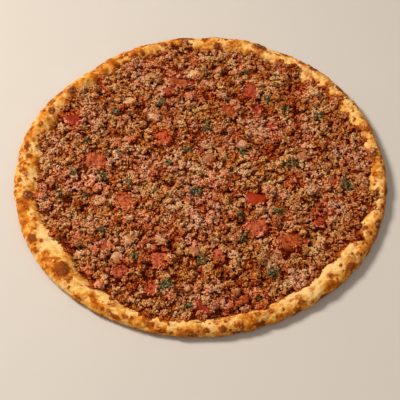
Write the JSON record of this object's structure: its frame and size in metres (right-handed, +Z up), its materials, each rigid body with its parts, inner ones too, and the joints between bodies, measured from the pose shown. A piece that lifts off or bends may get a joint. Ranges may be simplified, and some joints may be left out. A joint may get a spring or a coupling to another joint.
{
  "type": "lahmacun",
  "caption": "Round flatbread with a puffed browned rim, covered to the rim with a thick layer of browned mince, tomato pieces, onion pieces and parsley.",
  "frame": {"origin": "centre of the bread's flat underside, on the surface it lies on", "axes": "+Z up out of the topping; -Y towards the eater, where the camera stands; +X to the eater's right"},
  "size_m": [0.3, 0.2996, 0.0131],
  "materials": {
    "baked_dough": "baked dough, golden with dark blisters, dull with a slight sheen",
    "browned_mince": "crumbly browned mince, damp with oil",
    "tomato": "cooked tomato pieces, wet",
    "onion": "cooked onion pieces, damp and slightly see-through",
    "parsley": "dried-out dark green chopped parsley; scene pieces only"
  },
  "bodies": {
    "root": {"bread": "baked_dough", "meat_layer": "browned_mince", "onion_01": "onion", "onion_02": "onion", "onion_03": "onion", "onion_04": "onion", "onion_05": "onion", "onion_06": "onion", "onion_07": "onion", "onion_08": "onion", "onion_09": "onion", "onion_10": "onion", "onion_11": "onion", "tomato_01": "tomato", "tomato_02": "tomato", "tomato_03": "tomato", "tomato_04": "tomato", "tomato_05": "tomato", "tomato_06": "tomato", "tomato_07": "tomato", "tomato_08": "tomato", "tomato_09": "tomato", "tomato_10": "tomato", "tomato_11": "tomato", "tomato_12": "tomato", "tomato_13": "tomato", "tomato_14": "tomato", "tomato_15": "tomato", "tomato_16": "tomato", "tomato_17": "tomato", "tomato_18": "tomato", "tomato_19": "tomato", "tomato_20": "tomato", "tomato_21": "tomato"}
  },
  "joints": []
}
